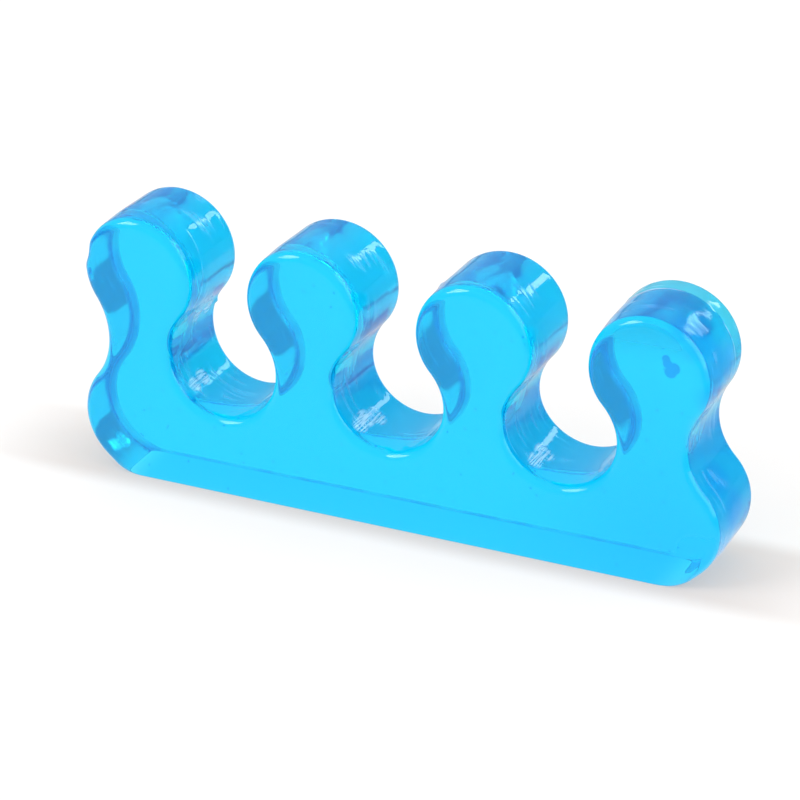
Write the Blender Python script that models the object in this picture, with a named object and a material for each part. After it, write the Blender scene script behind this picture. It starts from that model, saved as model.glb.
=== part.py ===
"""Toe separator: a soft gel bar that stands on its long edge, with round-headed posts between the toes.

The outline lies in the XZ plane and the thickness runs along Y, with the rounded front face towards -Y.
The origin is at the middle of the flat base. Every stretch of the outline is an arc that is tangent to
the next one: end bulge, waist, head, toe gap, head and so on, closed by the straight base.
"""
import math

import bmesh
import bpy

# Driving dimensions, in millimetres
POST_COUNT = 4
POST_PITCH = 23.0
HEAD_DIAMETER = 15.3
NECK_WIDTH = 8.1
GEL_UNDER_GAP = 10.9
END_BULGE_RADIUS = 8.05
END_BULGE_OVERHANG = 1.1
WAIST_RADIUS = 8.9
THICKNESS = 12.3
FRONT_ROUND = 1.3
BACK_ROUND = 0.3

# Fineness of the curved faces
ARC_STEP = math.radians(8.0)
FRONT_SEGMENTS = 4
BACK_SEGMENTS = 2

# Look of the gel
GEL_COLOUR = (0.02, 0.48, 0.95, 1.0)
GEL_ROUGHNESS = 0.12
GEL_TRANSMISSION = 0.6

MILLIMETRE = 0.001
WELD_DISTANCE = 1e-6
SHARP_ANGLE = math.radians(40.0)

# Sizes that follow from the driving dimensions
head_radius = HEAD_DIAMETER / 2
gap_radius = (POST_PITCH - NECK_WIDTH) / 2
gap_height = GEL_UNDER_GAP + gap_radius
head_height = gap_height + math.sqrt((head_radius + gap_radius) ** 2 - (POST_PITCH / 2) ** 2)
outer_post = POST_PITCH * (POST_COUNT - 1) / 2
end_bulge_x = outer_post + END_BULGE_OVERHANG


def clear_scene():
    for item in list(bpy.data.objects):
        bpy.data.objects.remove(item)


def waist_centre():
    """Centre of the circle that touches the right end bulge and the outer head from outside."""
    to_bulge = END_BULGE_RADIUS + WAIST_RADIUS
    to_head = head_radius + WAIST_RADIUS
    across = outer_post - end_bulge_x
    up = head_height - END_BULGE_RADIUS
    apart = math.hypot(across, up)
    along = (to_bulge ** 2 - to_head ** 2 + apart ** 2) / (2 * apart)
    aside = math.sqrt(to_bulge ** 2 - along ** 2)
    x = end_bulge_x + (along * across + aside * up) / apart
    z = END_BULGE_RADIUS + (along * up - aside * across) / apart
    return x, z


def bearing(start, end):
    """Angle of the line from one centre to another, which is where their circles touch."""
    return math.atan2(end[1] - start[1], end[0] - start[0])


def arc(centre, radius, start, end):
    """Points along an arc. It runs anticlockwise where end is the larger angle."""
    steps = max(2, math.ceil(abs(end - start) / ARC_STEP))
    angles = [start + (end - start) * i / steps for i in range(steps + 1)]
    return [(centre[0] + radius * math.cos(a), centre[1] + radius * math.sin(a)) for a in angles]


def outline_points():
    """The closed outline, anticlockwise from the right end of the flat base."""
    bulge = (end_bulge_x, END_BULGE_RADIUS)
    waist = waist_centre()
    bulge_to_waist = bearing(bulge, waist)
    head_to_waist = bearing((outer_post, head_height), waist)
    gap_to_head = bearing((0, gap_height), (POST_PITCH / 2, head_height))

    right_end = arc(bulge, END_BULGE_RADIUS, -math.pi / 2, bulge_to_waist)
    right_end += arc(waist, WAIST_RADIUS, math.pi + bulge_to_waist, math.pi + head_to_waist)
    left_end = [(-x, z) for x, z in reversed(right_end)]

    points = list(right_end)
    for post in range(POST_COUNT):
        head_x = outer_post - post * POST_PITCH
        first, last = post == 0, post == POST_COUNT - 1
        start = head_to_waist if first else -gap_to_head
        end = math.pi - head_to_waist if last else math.pi + gap_to_head
        points += arc((head_x, head_height), head_radius, start, end)
        if not last:
            gap = (head_x - POST_PITCH / 2, gap_height)
            points += arc(gap, gap_radius, gap_to_head, -math.pi - gap_to_head)
    points += left_end
    return without_repeats(points)


def without_repeats(points):
    """Arcs that touch share a point, which the outline needs only once."""
    kept = []
    for point in points:
        if not kept or math.dist(point, kept[-1]) > WELD_DISTANCE / MILLIMETRE:
            kept.append(point)
    return kept


def outline_curve(name, points):
    """A filled 2D curve of the outline, as thick as the gel, turned upright."""
    data = bpy.data.curves.new(name, "CURVE")
    data.dimensions = "2D"
    data.fill_mode = "BOTH"
    data.extrude = THICKNESS / 2 * MILLIMETRE
    spline = data.splines.new("POLY")
    spline.points.add(len(points) - 1)
    for spot, (x, z) in zip(spline.points, points):
        spot.co = (x * MILLIMETRE, z * MILLIMETRE, 0.0, 1.0)
    spline.use_cyclic_u = True
    curve = bpy.data.objects.new(name, data)
    curve.rotation_euler = (math.radians(90.0), 0.0, 0.0)
    bpy.context.scene.collection.objects.link(curve)
    return curve


def mesh_from_curve(curve):
    """The curve as a mesh, with its caps welded to its wall."""
    bpy.context.view_layer.update()
    evaluated = curve.evaluated_get(bpy.context.evaluated_depsgraph_get())
    mesh = bpy.data.meshes.new_from_object(evaluated)
    placed = curve.matrix_world.copy()
    bpy.data.objects.remove(curve)
    solid = bmesh.new()
    solid.from_mesh(mesh)
    bmesh.ops.remove_doubles(solid, verts=solid.verts, dist=WELD_DISTANCE)
    return solid, mesh, placed


def merge_cap(solid, level):
    """Joins the triangles of the flat cap at this level into one face."""
    cap = [f for f in solid.faces if all(abs(v.co.z - level) < WELD_DISTANCE for v in f.verts)]
    bmesh.ops.dissolve_faces(solid, faces=cap)


def round_rim(solid, level, radius, segments):
    """Rounds the edge all around the flat cap at this level."""
    rim = [e for e in solid.edges if all(abs(v.co.z - level) < WELD_DISTANCE for v in e.verts)]
    bmesh.ops.bevel(
        solid,
        geom=rim,
        offset=radius * MILLIMETRE,
        segments=segments,
        profile=0.5,
        affect="EDGES",
        material=-1,
    )


def gel_material():
    material = bpy.data.materials.new("gel")
    material.use_nodes = True
    shader = material.node_tree.nodes["Principled BSDF"]
    shader.inputs["Base Color"].default_value = GEL_COLOUR
    shader.inputs["Roughness"].default_value = GEL_ROUGHNESS
    shader.inputs["Metallic"].default_value = 0.0
    shader.inputs["Transmission Weight"].default_value = GEL_TRANSMISSION
    return material


def build_gel_body(collection):
    curve = outline_curve("gel_body_outline", outline_points())
    solid, mesh, placed = mesh_from_curve(curve)
    half = THICKNESS / 2 * MILLIMETRE
    for level, radius, segments in ((half, FRONT_ROUND, FRONT_SEGMENTS), (-half, BACK_ROUND, BACK_SEGMENTS)):
        merge_cap(solid, level)
        round_rim(solid, level, radius, segments)
    bmesh.ops.recalc_face_normals(solid, faces=solid.faces)
    solid.to_mesh(mesh)
    solid.free()
    mesh.name = "gel_body"
    mesh.shade_smooth()
    mesh.set_sharp_from_angle(angle=SHARP_ANGLE)
    mesh.materials.append(gel_material())
    body = bpy.data.objects.new("gel_body", mesh)
    body.matrix_world = placed
    collection.objects.link(body)
    return body


clear_scene()
parts = bpy.data.collections.new("toe_separator")
bpy.context.scene.collection.children.link(parts)
build_gel_body(parts)
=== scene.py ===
"""Studio view of a clear blue gel toe separator that stands on its long base. Metres, +Z up."""
import math

import bmesh
import bpy
from mathutils import Matrix, Vector, noise


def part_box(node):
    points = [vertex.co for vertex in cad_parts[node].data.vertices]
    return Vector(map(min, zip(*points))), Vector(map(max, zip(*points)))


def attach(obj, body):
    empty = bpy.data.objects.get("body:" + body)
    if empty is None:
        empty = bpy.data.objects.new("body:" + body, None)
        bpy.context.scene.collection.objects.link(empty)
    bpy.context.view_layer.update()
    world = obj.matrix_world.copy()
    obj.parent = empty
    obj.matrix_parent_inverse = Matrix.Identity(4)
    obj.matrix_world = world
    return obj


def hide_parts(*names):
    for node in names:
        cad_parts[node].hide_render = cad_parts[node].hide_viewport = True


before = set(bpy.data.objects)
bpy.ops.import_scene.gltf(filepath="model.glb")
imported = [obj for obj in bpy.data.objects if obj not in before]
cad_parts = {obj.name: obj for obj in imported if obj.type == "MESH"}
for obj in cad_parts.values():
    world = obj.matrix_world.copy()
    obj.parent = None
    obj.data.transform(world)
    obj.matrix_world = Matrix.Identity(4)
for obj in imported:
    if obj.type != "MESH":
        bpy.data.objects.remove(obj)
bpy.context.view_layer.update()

MM = 0.001

# The moulding's own sizes
POST_COUNT = 4
POST_PITCH = 23.0 * MM
HEAD_RADIUS = 7.65 * MM
GAP_RADIUS = 7.45 * MM
WAIST_RADIUS = 8.9 * MM
END_BULGE_RADIUS = 8.05 * MM
FRONT_ROUND = 1.3 * MM
BACK_ROUND = 1.0 * MM

# How the soft posts lean in the photograph, left to right: aside and up at the head, and how much
# further aside at the back, in millimetres
POST_LEAN = ((-0.04, 0.62, 0.35), (0.08, -0.08, 0.45), (0.18, -0.61, 0.2), (-0.32, -0.67, -0.1))
LEAN_START = 8.0 * MM
LEAN_FULL = 26.0 * MM
# Where one post's lean turns into the next one's, as shares of the way between them
LEAN_CHANGE = (0.35, 0.65)

# Fineness of the moulding, and how close to a level or a plane counts as on it
ARC_STEP = math.radians(3.0)
FRONT_SEGMENTS = 8
BACK_SEGMENTS = 7
WALL_RINGS = 18
WALL_MARGIN = 0.12 * MM
CAP_MARGIN = 0.25 * MM
CAP_GRID = 1.5 * MM
LEVEL_SLACK = 1e-6
CUT_SLACK = 1e-7

# Softness of the moulded surfaces, and the height above the table at which it is whole
WALL_WAVE = 0.013 * MM
WALL_WAVE_LENGTH = 5.0 * MM
CAP_WAVE = 0.012 * MM
CAP_WAVE_LENGTH = 9.0 * MM
WALL_BELLY = 0.2 * MM
WALL_BELLY_DEPTH = 3.4 * MM
SOFT_HEIGHT = 2.0 * MM

# Hollows and, where the depth is negative, nibs of flash: middle, radius and depth, in millimetres
HOLLOWS = (
    ((-42.0, -5.0, 30.6), 2.0, 0.35),
    ((-42.0, -4.0, 27.4), 1.6, 0.16),
    ((1.3, -4.6, 11.0), 1.3, 0.12),
    ((-0.1, -5.6, 10.7), 0.9, 0.15),
    ((-29.9, 5.2, 21.8), 0.7, -0.35),
    ((5.9, -1.5, 32.6), 0.6, -0.25),
    ((28.5, 3.0, 32.5), 0.6, -0.25),
)

# A groove that the last pour left around the top of the last post, in front of its back edge
GROOVE_DEPTH = 0.14 * MM
GROOVE_HALF_WIDTH = 0.6 * MM
GROOVE_FROM_BACK = 3.3 * MM
GROOVE_START = 29.0 * MM
GROOVE_FULL = 32.0 * MM

# A flat spot on the last post, its facing direction and how far below the round it lies
FLAT_SPOT = Vector((38.45, -1.9, 33.8)) * MM
FLAT_FACING = Vector((0.636, 0.022, 0.771))
FLAT_REACH = 2.0 * MM
FLAT_DEPTH = 0.14 * MM

# The base, pressed flat by the weight of the gel: how deep and how far up, the share of the front
# rounding that is left, and where near each end the whole rounding comes back
PRESSED = 0.3 * MM
PRESSED_REACH = 8 * PRESSED
PRESSED_EDGE = 0.6
PRESSED_END = (-4.0 * MM, 6.0 * MM)

# The gel: a clear cyan body with a thin blue haze in it
GEL_INDEX = 1.42
GEL_GLOSS = 0.04
GEL_CLEAR = (0.03, 0.905, 1.0, 1.0)
GEL_HAZE = (0.0, 0.36, 1.0, 1.0)
WALL_HAZE = (0.0, 0.44, 1.0, 1.0)
GEL_SHINE = (0.85, 0.95, 1.0, 1.0)
GEL_HAZE_SHARE = 0.22
GEL_DEPTH_TINT = (0.0, 0.965, 1.0, 1.0)
GEL_DEPTH_DENSITY = 100.0

# The rounding of the back edge, which is duller, bluer and patchily hazy
BACK_EDGE_FULL = 0.7 * BACK_ROUND
BACK_EDGE_END = (0.12 * MM, 0.03 * MM)
BACK_EDGE_GLOSS_LOSS = 0.5
BACK_EDGE_HAZE = 0.5
BACK_EDGE_EVEN_HAZE = 0.5
BACK_EDGE_PATCH = (0.35, 0.6)
BACK_EDGE_BLUE = (0.0, 0.52, 1.0, 1.0)

# Stains on the front of the last post. Here and below, a spot is its middle and radius, in
# millimetres, and a core is the share of that radius within which the spot is whole.
GEL_STAIN = (0.0, 0.3, 0.85, 1.0)
STAIN_CORE = 0.7
STAINS = (
    ((36.6, -6.15, 30.5), 0.6),
    ((36.8, -6.15, 29.9), 0.7),
    ((37.6, -6.15, 29.4), 0.9),
    ((37.2, -6.15, 28.9), 0.9),
)

# Small darker specks all through the gel
SPECK_SPACING = 520.0
SPECK_SIZE = 0.09
SPECK_CORE = 0.6

# Painted shade: a deeper blue around the right side of the last post and the right end, on the side away
# from the key light, and wider and fainter over the lower right of the front
GEL_PAINTED_SHADE = (0.0, 0.5, 1.0, 1.0)
SHADE_SPOT_CORE = 0.3
SHADE_SPOTS = (
    ((38.4, -4.4, 34.2), 3.0),
    ((40.4, -3.7, 32.3), 3.8),
    ((41.8, -2.8, 29.4), 4.4),
    ((41.8, -3.6, 26.2), 3.8),
    ((41.2, -1.4, 13.0), 4.0),
    ((43.2, -0.6, 9.4), 4.0),
    ((42.2, 0.4, 28.0), 3.4),
)
LOW_RIGHT_SHADE = (((36.0, -6.0, 4.0), 26.0),)
LOW_RIGHT_SHADE_CORE = 0.0
LOW_RIGHT_SHADE_SHARE = 0.38

# The corner where the gel lifts off the table and its back edge stays clear
CLEAR_CORNER = (((38.2, 6.0, 0.8), 4.5),)
CLEAR_CORNER_CORE = 0.4
DULL_CORNER = (((38.2, 1.0, 0.2), 5.0), ((38.4, 4.6, 0.5), 4.5))
DULL_CORNER_CORE = 0.6
DULL_CORNER_GLOSS_LOSS = 0.3

# The duller gloss around the flat spot
FLAT_DULL = ((FLAT_SPOT / MM, 4.6),)
FLAT_DULL_CORE = 0.75
FLAT_GLOSS_LOSS = 0.13

# The last pour, a paler and greener strip behind the groove, with a painted highlight, a bright line,
# along the groove
POUR_GREEN = (0.08, 0.62, 0.8, 1.0)
POUR_SHARE = 0.35
POUR_START = 25.0 * MM
POUR_FULL = 32.0 * MM
POUR_SIDE = 1.0 * MM
POUR_EDGE = 0.2 * MM
GROOVE_HIGHLIGHT_WIDTH = 0.12 * MM
GROOVE_HIGHLIGHT_SHARE = 0.6
GROOVE_HIGHLIGHT_PATCH = (0.35, 0.55)

# Marks that the mould left on the walls. They run along the outline, so they are fine across it.
NOISE_MIDDLE = 0.5
FLOW_LINE_HEIGHT = 0.007 * MM
FLOW_LINES_ALONG = 60.0
FLOW_LINES_ACROSS = 1000.0
SCRATCH_HEIGHT = 0.016 * MM
SCRATCHES_ALONG = 70.0
SCRATCHES_ACROSS = 700.0
SCRATCH_WIDTH = 0.1
SCRATCH_PATCHES = 220.0
SCRATCH_PATCH = (0.5, 0.62)
# The scratches are whitened by this share, which is a painted highlight
SCRATCH_HIGHLIGHT_SHARE = 0.12

# Scuffed spots, hatched along and across the walls. Their strokes are whitened where the streak of light
# falls, which is a painted highlight.
SCUFF_HEIGHT = 0.012 * MM
SCUFF_LENGTHWAYS = (220.0, 2200.0)
SCUFF_LENGTHWAYS_SHARE = 0.6
SCUFF_CROSSWAYS = (2500.0, 200.0)
SCUFF_WIDTH = 0.12
HIGHLIGHT_WHITE = (0.55, 0.8, 1.0, 1.0)
SCUFF_HIGHLIGHT_SHARE = 0.6
HIGHLIGHT_GAIN = 2.0
SCUFF_CORE = 0.5
SCUFFS = (
    ((-4.7, -3.7, 12.6), 1.5),
    ((-4.7, -2.0, 12.6), 1.7),
    ((-4.1, -0.3, 12.1), 1.8),
    ((-28.5, -3.2, 13.4), 1.3),
    ((-28.6, -1.2, 13.5), 1.5),
    ((18.8, -3.1, 12.0), 1.6),
    ((19.0, -1.0, 12.0), 1.8),
    ((-29.9, 0.5, 21.6), 1.4),
    ((-29.8, 3.0, 21.9), 1.6),
    ((-41.0, 2.2, 2.1), 1.8),
)

# The white card under the gel: how much of it is its own white, and where a painted falloff of light greys
# it
PLAIN_WHITE = (1.0, 1.0, 1.0, 1.0)
CARD_SIZE = 4.0
CARD_PRESS = 0.05 * MM
CARD_OWN_WHITE = 0.6
CARD_WHITE = (0.83, 0.785, 0.76, 1.0)
CARD_GREY = (0.35, 0.36, 0.37, 1.0)
CARD_PALE = (0.8, 0.8, 0.8, 1.0)
CARD_ASIDE = (0.899, 0.439, 0.0)
CARD_AWAY = (-0.439, 0.899, 0.0)
CARD_SPREAD = 0.14
CARD_WHITE_ASIDE = 0.048
CARD_GREY_ASIDE = 0.083
CARD_WHITE_REACH = 0.26
CARD_GREY_REACH = 0.45

# The card where the gel covers it, from inside each end bulge's middle to outside it. There it glows
# painted gel-blue light, and a little less of it glows, which is a painted contact shade.
CARD_GEL_LIGHT_GLOW = (0.05, 0.71, 0.96, 1.0)
CARD_COVERED_INSIDE = 1.0 * MM
CARD_COVERED_OUTSIDE = 5.0 * MM
CARD_CONTACT_SHADE = 0.05

# The soft shade on the card close to the gel, and how much less of the card behind it the gloss shows
CARD_SHADE = (0.66, 0.61, 0.58, 1.0)
CARD_SHADE_REACH = 4.6 * MM
CARD_SHADE_START = 6.0 * MM
CARD_SHADE_ALONG = 0.2
CARD_MIRROR_LOSS = 0.5

# The room's brightness at its horizon and overhead, its dimmer side and its brighter front, and
# how much less of it the gloss shows
ROOM_HORIZON = 0.8
ROOM_OVERHEAD = 1.1
ROOM_CLIMB = (0.2, 0.85)
ROOM_DIM_SIDE = (0.58, 0.81, 0.08)
ROOM_DIM_EDGE = (0.6, 1.0)
ROOM_DIM_SHARE = 0.6
ROOM_FRONT_EDGE = (0.3, 0.8)
ROOM_FRONT_GAIN = 0.35
ROOM_MIRROR_LOSS = 0.35

# The soft lamps: name, place, aim, size and power
SOFTBOXES = (
    ("key_softbox", (-0.5, -0.48, 0.52), (0.0, 0.0, 0.0), (0.36, 0.36), 3.2),
    ("side_softbox", (0.8, 0.05, 0.42), (0.0, 0.0, 0.0), (0.9, 0.9), 4.5),
    ("back_strip", (0.30, 0.64, 0.376), (0.0, 0.0, 0.02), (0.065, 0.2), 0.2),
)

# The camera, fitted to the photograph
CAMERA_AZIMUTH = math.radians(25.934)
CAMERA_ELEVATION = math.radians(26.376)
CAMERA_ROLL = math.radians(-1.296)
CAMERA_DISTANCE = 356.4 * MM
CAMERA_AIM = Vector((-0.773 * MM, 0.0, 15.13 * MM))
CAMERA_LENS = 128.2
CAMERA_FILM = 36.0
CAMERA_NEAR = 0.01

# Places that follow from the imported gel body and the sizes
low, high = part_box("gel_body")
low, high = Vector(low), Vector(high)
thickness = high.y - low.y
front_y, back_y = low.y, high.y
head_height = high.z - HEAD_RADIUS
gap_height = head_height - math.sqrt((HEAD_RADIUS + GAP_RADIUS) ** 2 - (POST_PITCH / 2) ** 2)
outer_post = POST_PITCH * (POST_COUNT - 1) / 2
end_bulge_x = high.x - END_BULGE_RADIUS
groove_y = back_y - GROOVE_FROM_BACK


def waist_centre():
    """Centre of the circle that touches the right end bulge and the outer head from outside."""
    to_bulge = END_BULGE_RADIUS + WAIST_RADIUS
    to_head = HEAD_RADIUS + WAIST_RADIUS
    across = outer_post - end_bulge_x
    up = head_height - END_BULGE_RADIUS
    apart = math.hypot(across, up)
    along = (to_bulge ** 2 - to_head ** 2 + apart ** 2) / (2 * apart)
    aside = math.sqrt(to_bulge ** 2 - along ** 2)
    x = end_bulge_x + (along * across + aside * up) / apart
    z = END_BULGE_RADIUS + (along * up - aside * across) / apart
    return x, z


def bearing(start, end):
    """Angle of the line from one centre to another, which is where their circles touch."""
    return math.atan2(end[1] - start[1], end[0] - start[0])


def smooth_step(value, start, full):
    """Climbs smoothly from 0 to 1 while the value goes from start to full."""
    share = min(max((value - start) / (full - start), 0.0), 1.0)
    return share * share * (3.0 - 2.0 * share)


def sweep(mesh, tip, centre, angle):
    """Draws an arc from the outline's tip around a centre, anticlockwise from the front if positive."""
    steps = max(2, math.ceil(abs(angle) / ARC_STEP))
    swept = bmesh.ops.spin(
        mesh,
        geom=[tip],
        cent=(centre[0], front_y, centre[1]),
        axis=(0.0, -1.0, 0.0),
        angle=angle,
        steps=steps,
        use_merge=False,
        use_duplicate=False,
    )
    return [v for v in swept["geom_last"] if isinstance(v, bmesh.types.BMVert)][0]


def draw_outline(mesh):
    """The front outline as one chain of tangent arcs, from the right end of the base to the left end."""
    waist = waist_centre()
    bulge = (end_bulge_x, END_BULGE_RADIUS)
    bulge_to_waist = bearing(bulge, waist)
    head_to_waist = bearing((outer_post, head_height), waist)
    gap_to_head = bearing((0.0, gap_height), (POST_PITCH / 2, head_height))
    bulge_turn = math.pi / 2 + bulge_to_waist
    waist_turn = head_to_waist - bulge_to_waist
    outer_turn = math.pi + gap_to_head - head_to_waist
    gap_turn = math.pi + 2 * gap_to_head

    start = mesh.verts.new((end_bulge_x, front_y, 0.0))
    tip = sweep(mesh, start, bulge, bulge_turn)
    tip = sweep(mesh, tip, waist, waist_turn)
    for post in range(POST_COUNT):
        x = outer_post - post * POST_PITCH
        turn = outer_turn if post in (0, POST_COUNT - 1) else gap_turn
        tip = sweep(mesh, tip, (x, head_height), turn)
        if post < POST_COUNT - 1:
            tip = sweep(mesh, tip, (x - POST_PITCH / 2, gap_height), -gap_turn)
    tip = sweep(mesh, tip, (-waist[0], waist[1]), waist_turn)
    tip = sweep(mesh, tip, (-bulge[0], bulge[1]), bulge_turn)
    mesh.edges.new((tip, start))


def on_level(points, level):
    """Whether all these points lie at this depth."""
    return all(abs(v.co.y - level) < LEVEL_SLACK for v in points)


def round_rim(mesh, level, radius, segments):
    """Rounds the edge all around the flat face at this depth."""
    bmesh.ops.bevel(
        mesh,
        geom=[e for e in mesh.edges if on_level(e.verts, level)],
        offset=radius,
        segments=segments,
        profile=0.5,
        affect="EDGES",
        material=-1,
    )


def cut(mesh, geometry, place, direction):
    """Cuts geometry with a plane and returns all of it, new pieces included."""
    split = bmesh.ops.bisect_plane(
        mesh,
        geom=geometry,
        plane_co=place,
        plane_no=direction,
        dist=CUT_SLACK,
    )
    return split["geom"]


def ring_wall(mesh):
    """Rings along the thickness, with one close to each rim so that the wall stays straight up to it."""
    start = front_y + FRONT_ROUND + WALL_MARGIN
    end = back_y - BACK_ROUND - WALL_MARGIN
    for ring in range(WALL_RINGS):
        level = start + (end - start) * ring / (WALL_RINGS - 1)
        cut(mesh, mesh.verts[:] + mesh.edges[:] + mesh.faces[:], (0.0, level, 0.0), (0.0, 1.0, 0.0))


def grid_cap(mesh, level):
    """A margin inside the rim keeps the flat face flat up to it, and a grid lets the face sag softly."""
    cap = [f for f in mesh.faces if on_level(f.verts, level)]
    bmesh.ops.inset_region(mesh, faces=cap, thickness=CAP_MARGIN, use_even_offset=True)
    geometry = list({v for f in cap for v in f.verts}) + list({e for f in cap for e in f.edges}) + cap
    for column in range(1, int((high.x - low.x) / CAP_GRID) + 1):
        geometry = cut(mesh, geometry, (low.x + column * CAP_GRID, 0.0, 0.0), (1.0, 0.0, 0.0))
    for row in range(1, int(high.z / CAP_GRID) + 1):
        geometry = cut(mesh, geometry, (0.0, 0.0, row * CAP_GRID), (0.0, 0.0, 1.0))


def lean(place):
    """How far the soft post has moved at this place."""
    share = smooth_step(place.z, LEAN_START, LEAN_FULL)
    along = min(max(place.x / POST_PITCH + (POST_COUNT - 1) / 2, 0.0), POST_COUNT - 1.0)
    left = min(int(along), POST_COUNT - 2)
    between = smooth_step(along - left, *LEAN_CHANGE)
    aside, up, twist = (a + (b - a) * between for a, b in zip(POST_LEAN[left], POST_LEAN[left + 1]))
    aside += twist * (place.y - front_y) / thickness
    return Vector((aside * MM * share, 0.0, up * MM * share))


def waviness(place, length):
    """Smooth noise with waves about this long."""
    return noise.noise(Vector((place.x, place.y, place.z)) / length)


def groove(place):
    """How deep the groove is at this place."""
    share = 1.0 - smooth_step(abs(place.y - groove_y), 0.0, GROOVE_HALF_WIDTH)
    return GROOVE_DEPTH * share * smooth_step(place.z, GROOVE_START, GROOVE_FULL) * (place.x > POST_PITCH)


def hollow(place):
    """How deep the hollows are at this place."""
    depth = 0.0
    for middle, radius, deepest in HOLLOWS:
        away = (place - Vector(middle) * MM).length / (radius * MM)
        depth += deepest * MM * (1.0 - smooth_step(away, 0.0, 1.0))
    return depth


def flatten(place):
    """How this place moves where it stands above the flat spot."""
    above = max((place - FLAT_SPOT).dot(FLAT_FACING) + FLAT_DEPTH, 0.0)
    share = 1.0 - smooth_step(abs(place.y - FLAT_SPOT.y), 0.5 * FLAT_REACH, FLAT_REACH)
    return -share * above * FLAT_FACING


def press(place):
    """Squeezes the rounded front edge of the base, and lays the ends of the base down on the table."""
    end = abs(place.x) - end_bulge_x
    low_down = place.z < FRONT_ROUND + LEVEL_SLACK
    if low_down and place.y < front_y + FRONT_ROUND + LEVEL_SLACK:
        share = PRESSED_EDGE + (1.0 - PRESSED_EDGE) * smooth_step(end, *PRESSED_END)
        place.y = front_y + (place.y - front_y) * share
        place.z *= share
    down = PRESSED * (1.0 - smooth_step(place.z, PRESSED, PRESSED_REACH))
    place.z = max(place.z - down, 0.0)


def soften(mesh):
    """Moves every point by the lean of its post and the slight unevenness of a poured moulding."""
    mesh.normal_update()
    moves = []
    for point in mesh.verts:
        face_share = abs(point.normal.y)
        belly = min(max((point.co.y - front_y - FRONT_ROUND) / WALL_BELLY_DEPTH, 0.0), 1.0)
        rise = (1.0 - face_share) * (WALL_WAVE * waviness(point.co, WALL_WAVE_LENGTH) + WALL_BELLY * belly)
        rise += face_share * CAP_WAVE * waviness(point.co, CAP_WAVE_LENGTH)
        soft = smooth_step(point.co.z, 0.0, SOFT_HEIGHT)
        moved = lean(point.co)
        rise -= hollow(point.co + moved) + (1.0 - face_share) * groove(point.co + moved)
        moves.append(moved + flatten(point.co + moved) + point.normal * rise * soft)
    for point, move in zip(mesh.verts, moves):
        point.co += move
        press(point.co)


def make_gel_body():
    """The whole moulding: its outline, pulled through its thickness, rounded and softened."""
    mesh = bmesh.new()
    draw_outline(mesh)
    bmesh.ops.contextual_create(mesh, geom=mesh.edges[:])
    pulled = bmesh.ops.extrude_face_region(mesh, geom=mesh.faces[:], use_keep_orig=True)
    moved = [v for v in pulled["geom"] if isinstance(v, bmesh.types.BMVert)]
    bmesh.ops.translate(mesh, verts=moved, vec=(0.0, thickness, 0.0))
    round_rim(mesh, front_y, FRONT_ROUND, FRONT_SEGMENTS)
    round_rim(mesh, back_y, BACK_ROUND, BACK_SEGMENTS)
    ring_wall(mesh)
    grid_cap(mesh, front_y)
    grid_cap(mesh, back_y)
    bmesh.ops.recalc_face_normals(mesh, faces=mesh.faces)
    soften(mesh)
    bmesh.ops.triangulate(mesh, faces=[f for f in mesh.faces if len(f.verts) > 4])
    data = bpy.data.meshes.new("clear_gel")
    mesh.to_mesh(data)
    mesh.free()
    data.shade_smooth()
    piece = bpy.data.objects.new("clear_gel", data)
    bpy.context.scene.collection.objects.link(piece)
    return piece


class Wire:
    """A socket in a node tree. Sums of wires and numbers add Math nodes, and node() adds any other."""

    def __init__(self, tree, socket=None):
        self.tree = tree
        self.socket = socket

    def node(self, kind, settings=None, inputs=None, output=0):
        made = self.tree.nodes.new("ShaderNode" + kind)
        for name, value in (settings or {}).items():
            setattr(made, name, value)
        for name, value in (inputs or {}).items():
            if isinstance(value, Wire):
                self.tree.links.new(value.socket, made.inputs[name])
            else:
                made.inputs[name].default_value = value
        return Wire(self.tree, made.outputs[output]) if made.outputs else None

    def math(self, operation, *values):
        return self.node("Math", {"operation": operation}, dict(enumerate(values)))

    def size(self):
        """This number without its sign."""
        return self.math("ABSOLUTE", self)

    def measure(self, operation, *vectors):
        """One number from vectors, such as a length, a distance or a dot product."""
        return self.node("VectorMath", {"operation": operation}, dict(enumerate(vectors)), "Value")

    def mix(self, share, first, second):
        """The first colour where the share is 0, and the second where it is 1."""
        return self.node("Mix", {"data_type": "RGBA"}, {"Factor": share, 6: first, 7: second}, 2)

    def rise(self, start, full):
        """Climbs smoothly from 0 to 1 while this value goes from start to full."""
        span = {"Value": self, "From Min": start, "From Max": full}
        return self.node("MapRange", {"interpolation_type": "SMOOTHSTEP"}, span)

    def axes(self):
        """The X, Y and Z of this vector."""
        return [self.node("SeparateXYZ", inputs={"Vector": self}, output=axis) for axis in "XYZ"]

    def __add__(self, other):
        return self.math("ADD", self, other)

    def __radd__(self, other):
        return self.math("ADD", other, self)

    def __sub__(self, other):
        return self.math("SUBTRACT", self, other)

    def __rsub__(self, other):
        return self.math("SUBTRACT", other, self)

    def __mul__(self, other):
        return self.math("MULTIPLY", self, other)

    def __rmul__(self, other):
        return self.math("MULTIPLY", other, self)


def empty_material(name):
    """A new material without nodes, and the wire that its nodes are made from."""
    material = bpy.data.materials.new(name)
    material.use_nodes = True
    material.node_tree.nodes.clear()
    return material, Wire(material.node_tree)


def stretched_noise(place, along, across):
    """Noise with waves so many to the metre along and across the outline."""
    x, y, z = place.axes()
    stretched = place.node("CombineXYZ", inputs={"X": x * along, "Y": y * across, "Z": z * along})
    return place.node("TexNoise", inputs={"Vector": stretched, "Scale": 1.0, "Detail": 1.0})


def noise_lines(place, along, across, width):
    """Thin lines where the noise passes its middle, 1 in the middle of a line."""
    level = stretched_noise(place, along, across) - NOISE_MIDDLE
    return 1.0 - level.size().rise(0.0, width)


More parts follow.
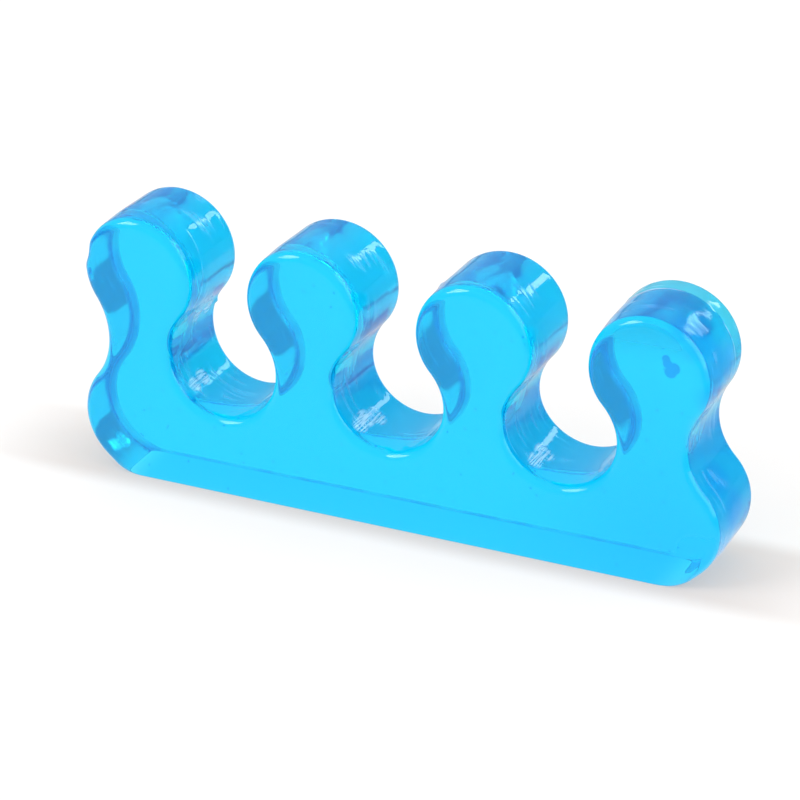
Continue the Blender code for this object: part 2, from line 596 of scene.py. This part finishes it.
def near_spots(place, spots, core):
    """1 in the middle of a spot, falling to 0 from its core to its rim."""
    share = 0.0
    for middle, radius in spots:
        away = place.measure("DISTANCE", place, Vector(middle) * MM)
        share = away.math("MAXIMUM", share, 1.0 - away.rise(radius * MM * core, radius * MM))
    return share


def gel_marks(place, wall, patches):
    """The fine lines on the walls as heights in metres, the scratches, and the strokes of the scuffs,
    which also carry painted highlights.
    """
    lines = stretched_noise(place, FLOW_LINES_ALONG, FLOW_LINES_ACROSS)
    scratch = noise_lines(place, SCRATCHES_ALONG, SCRATCHES_ACROSS, SCRATCH_WIDTH)
    scratch = scratch * patches.rise(*SCRATCH_PATCH) * wall
    lengthways = noise_lines(place, *SCUFF_LENGTHWAYS, SCUFF_WIDTH) * SCUFF_LENGTHWAYS_SHARE
    crossways = noise_lines(place, *SCUFF_CROSSWAYS, SCUFF_WIDTH)
    scuff = place.math("MAXIMUM", lengthways, crossways) * near_spots(place, SCUFFS, SCUFF_CORE) * wall
    return lines * FLOW_LINE_HEIGHT * wall, scratch, scuff


def last_pour(place, patches):
    """The strip behind the groove on the last post, and the painted highlight line along it."""
    x, y, z = place.axes()
    top = x.rise(POST_PITCH, POST_PITCH + POUR_SIDE) * z.rise(POUR_START, POUR_FULL)
    line = (1.0 - (y - groove_y).size().rise(0.0, GROOVE_HIGHLIGHT_WIDTH)) * top
    return y.rise(groove_y, groove_y + POUR_EDGE) * top, line * patches.rise(*GROOVE_HIGHLIGHT_PATCH)


def back_edge_share(place, deep):
    """1 on the rounding of the back edge, but 0 at the flat back and at the clear corner."""
    end, flat = BACK_EDGE_END
    edge = deep.rise(back_y - BACK_ROUND, back_y - BACK_EDGE_FULL)
    edge = edge * (1.0 - deep.rise(back_y - end, back_y - flat))
    return edge * (1.0 - near_spots(place, CLEAR_CORNER, CLEAR_CORNER_CORE))


def clear_colour(place):
    """The clear gel with its stain and specks, and a painted shade of deeper blue at the right."""
    voronoi = {"Vector": place, "Scale": SPECK_SPACING}
    from_speck = place.node("TexVoronoi", inputs=voronoi, output="Distance")
    speck = 1.0 - from_speck.rise(SPECK_SIZE * SPECK_CORE, SPECK_SIZE)
    stain = place.math("MAXIMUM", near_spots(place, STAINS, STAIN_CORE), speck)
    # The deeper blue at the right is painted shade
    low_right_shade = near_spots(place, LOW_RIGHT_SHADE, LOW_RIGHT_SHADE_CORE) * LOW_RIGHT_SHADE_SHARE
    painted_shade = place.math("MAXIMUM", near_spots(place, SHADE_SPOTS, SHADE_SPOT_CORE), low_right_shade)
    return place.mix(painted_shade, place.mix(stain, GEL_CLEAR, GEL_STAIN), GEL_PAINTED_SHADE)


def gel_roughness(place, back_edge):
    """Glossy gel, duller on its back edge, around its flat spot and at its lifted corner."""
    flat = near_spots(place, FLAT_DULL, FLAT_DULL_CORE)
    corner = near_spots(place, DULL_CORNER, DULL_CORNER_CORE)
    roughness = GEL_GLOSS + back_edge * BACK_EDGE_GLOSS_LOSS + flat * FLAT_GLOSS_LOSS
    return roughness + corner * DULL_CORNER_GLOSS_LOSS


def gel_material():
    """Clear gel mixed with haze. The marks of the mould, the pour and the wear lie on its surface, and the
    scratches, the scuffs and the groove carry painted highlights.
    """
    material, shade = empty_material("blue_gel")
    place = shade.node("TexCoord", output="Object")
    _, deep, _ = place.axes()
    wall = deep.rise(front_y, front_y + FRONT_ROUND) * (1.0 - deep.rise(back_y - BACK_ROUND, back_y))
    back_edge = back_edge_share(place, deep)
    patches = {"Vector": place, "Scale": SCRATCH_PATCHES, "Detail": 1.0}
    patches = place.node("TexNoise", inputs=patches)
    lines, scratch, scuff = gel_marks(place, wall, patches)
    pour, groove_highlight = last_pour(place, patches)
    # Painted highlights: whiter haze on the scuffs, the scratches and the groove line
    highlights = scuff * SCUFF_HIGHLIGHT_SHARE + scratch * SCRATCH_HIGHLIGHT_SHARE + groove_highlight * GROOVE_HIGHLIGHT_SHARE

    height = lines + scratch * SCRATCH_HEIGHT + scuff * SCUFF_HEIGHT
    bump = shade.node("Bump", inputs={"Height": height, "Distance": 1.0, "Strength": 1.0})
    roughness = gel_roughness(place, back_edge)
    gloss = {"Roughness": roughness, "IOR": GEL_INDEX, "Specular Tint": GEL_SHINE, "Normal": bump}

    milk = place.mix(wall, GEL_HAZE, WALL_HAZE)
    milk = place.mix(back_edge, milk, BACK_EDGE_BLUE)
    milk = place.mix(pour, milk, POUR_GREEN)
    milk = place.mix(highlights * HIGHLIGHT_GAIN, milk, HIGHLIGHT_WHITE)
    paint = clear_colour(place)
    clear = shade.node("BsdfPrincipled", inputs={"Base Color": paint, "Transmission Weight": 1.0, **gloss})
    haze = shade.node("BsdfPrincipled", inputs={"Base Color": milk, **gloss})

    patchy = BACK_EDGE_EVEN_HAZE + patches.rise(*BACK_EDGE_PATCH) * (1.0 - BACK_EDGE_EVEN_HAZE)
    haze_share = GEL_HAZE_SHARE + back_edge * BACK_EDGE_HAZE * patchy + highlights + pour * POUR_SHARE
    body = shade.node("MixShader", inputs={"Fac": haze_share, 1: clear, 2: haze})
    depth = shade.node("VolumeAbsorption", inputs={"Color": GEL_DEPTH_TINT, "Density": GEL_DEPTH_DENSITY})
    shade.node("OutputMaterial", inputs={"Surface": body, "Volume": depth})
    return material


def card_painted_falloff(place):
    """How grey the painted falloff of light makes the card: more with distance, and more towards the
    right.
    """
    far = place.measure("LENGTH", place)
    aside = place.measure("DOT_PRODUCT", place, CARD_ASIDE)
    away = place.measure("DOT_PRODUCT", place, CARD_AWAY)
    right = (aside - away * CARD_SPREAD).rise(CARD_WHITE_ASIDE, CARD_GREY_ASIDE)
    return 1.0 - (1.0 - far.rise(CARD_WHITE_REACH, CARD_GREY_REACH)) * (1.0 - right)


def card_covered(across, deep):
    """1 where the gel stands on the card, fading out at its two ends."""
    start = end_bulge_x - CARD_COVERED_INSIDE
    covered = 1.0 - across.size().rise(start, end_bulge_x + CARD_COVERED_OUTSIDE)
    return covered * deep.math("LESS_THAN", deep.size(), thickness / 2)


def card_shade(across, deep):
    """1 close to the gel, falling to 0 over a short reach. It fades slowly past the two ends."""
    beside = across.math("MAXIMUM", across.size() - end_bulge_x - CARD_SHADE_START, 0.0)
    before = deep.math("MAXIMUM", deep.size() - thickness / 2, 0.0)
    gap = across.node("CombineXYZ", inputs={"X": beside * CARD_SHADE_ALONG, "Y": before})
    return 1.0 - gap.measure("LENGTH", gap).rise(0.0, CARD_SHADE_REACH)


def card_material():
    """Matt white card. It keeps a faint shadow with painted shade close to the gel, glows with painted
    gel-blue light under the gel, and greys away from the object in a painted falloff of light.
    """
    material, shade = empty_material("white_card")
    place = shade.node("TexCoord", output="Object")
    across, deep, _ = place.axes()
    falloff = card_painted_falloff(place)
    covered = card_covered(across, deep)
    seen = shade.node("LightPath", output="Is Camera Ray")
    glossy = shade.node("LightPath", output="Is Glossy Ray")
    through = shade.node("LightPath", output="Is Transmission Ray")

    matt = shade.node("BsdfDiffuse", inputs={"Color": shade.mix(falloff, CARD_WHITE, CARD_GREY)})
    glow = shade.mix(falloff, PLAIN_WHITE, shade.mix(seen, CARD_GREY, CARD_PALE))
    # Painted light: under the gel the card glows gel-blue
    glow = shade.mix(covered, glow, CARD_GEL_LIGHT_GLOW)
    glow = shade.mix(seen * card_shade(across, deep), glow, CARD_SHADE)
    behind = deep.rise(thickness / 2, thickness)
    strength = 1.0 - glossy * (1.0 - through) * behind * CARD_MIRROR_LOSS
    own = shade.node("Emission", inputs={"Color": glow, "Strength": strength})

    # Less glow where the gel covers the card, a painted contact shade
    share = (seen + glossy + through) * (1.0 - covered * CARD_CONTACT_SHADE) * CARD_OWN_WHITE
    mixed = shade.node("MixShader", inputs={"Fac": share, 1: matt, 2: own})
    shade.node("OutputMaterial", inputs={"Surface": mixed})
    return material


def make_card():
    """The card lies a hair inside the gel's base, so that the two touch all over."""
    bpy.ops.mesh.primitive_plane_add(size=CARD_SIZE, location=(0.0, 0.0, CARD_PRESS))
    card = bpy.context.object
    card.name = "white_card"
    card.data.materials.append(card_material())


def softbox(name, place, aim, size, power):
    """A soft rectangular lamp that faces its aim."""
    data = bpy.data.lights.new(name, "AREA")
    data.shape = "RECTANGLE"
    data.size, data.size_y = size
    data.energy = power
    lamp = bpy.data.objects.new(name, data)
    lamp.location = place
    lamp.rotation_euler = (Vector(aim) - Vector(place)).to_track_quat("-Z", "Y").to_euler()
    bpy.context.scene.collection.objects.link(lamp)


def make_room():
    """A pale grey room that gets brighter towards the ceiling and the front."""
    world = bpy.data.worlds.new("pale_room")
    world.use_nodes = True
    shade = Wire(world.node_tree)
    direction = shade.node("TexCoord", output="Generated")
    _, front_to_back, up = direction.axes()
    level = ROOM_HORIZON + up.rise(*ROOM_CLIMB) * (ROOM_OVERHEAD - ROOM_HORIZON)
    facing = shade.measure("DOT_PRODUCT", direction, ROOM_DIM_SIDE)
    level = level * (1.0 - facing.rise(*ROOM_DIM_EDGE) * ROOM_DIM_SHARE)
    front = front_to_back * -1.0
    level = level * (1.0 + front.rise(*ROOM_FRONT_EDGE) * ROOM_FRONT_GAIN)
    through = shade.node("LightPath", output="Is Transmission Ray")
    mirrored = shade.node("LightPath", output="Is Glossy Ray") * (1.0 - through)
    level = level * (1.0 - mirrored * ROOM_MIRROR_LOSS)
    background = world.node_tree.nodes["Background"]
    background.inputs["Color"].default_value = PLAIN_WHITE
    world.node_tree.links.new(level.socket, background.inputs["Strength"])
    bpy.context.scene.world = world


def make_camera():
    """The camera at the photograph's viewing angle."""
    data = bpy.data.cameras.new("camera")
    data.lens = CAMERA_LENS
    data.sensor_width = CAMERA_FILM
    data.clip_start = CAMERA_NEAR
    camera = bpy.data.objects.new("camera", data)
    back = Vector((
        math.sin(CAMERA_AZIMUTH) * math.cos(CAMERA_ELEVATION),
        -math.cos(CAMERA_AZIMUTH) * math.cos(CAMERA_ELEVATION),
        math.sin(CAMERA_ELEVATION),
    ))
    turn = back.to_track_quat("Z", "Y").to_matrix() @ Matrix.Rotation(CAMERA_ROLL, 3, "Z")
    camera.matrix_world = Matrix.Translation(CAMERA_AIM + back * CAMERA_DISTANCE) @ turn.to_4x4()
    bpy.context.scene.collection.objects.link(camera)
    bpy.context.scene.camera = camera


gel = make_gel_body()
gel.data.materials.append(gel_material())
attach(gel, "root")
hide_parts("gel_body")

make_card()
make_room()
for lamp_settings in SOFTBOXES:
    softbox(*lamp_settings)
make_camera()

scene = bpy.context.scene
scene.view_settings.view_transform = "Standard"
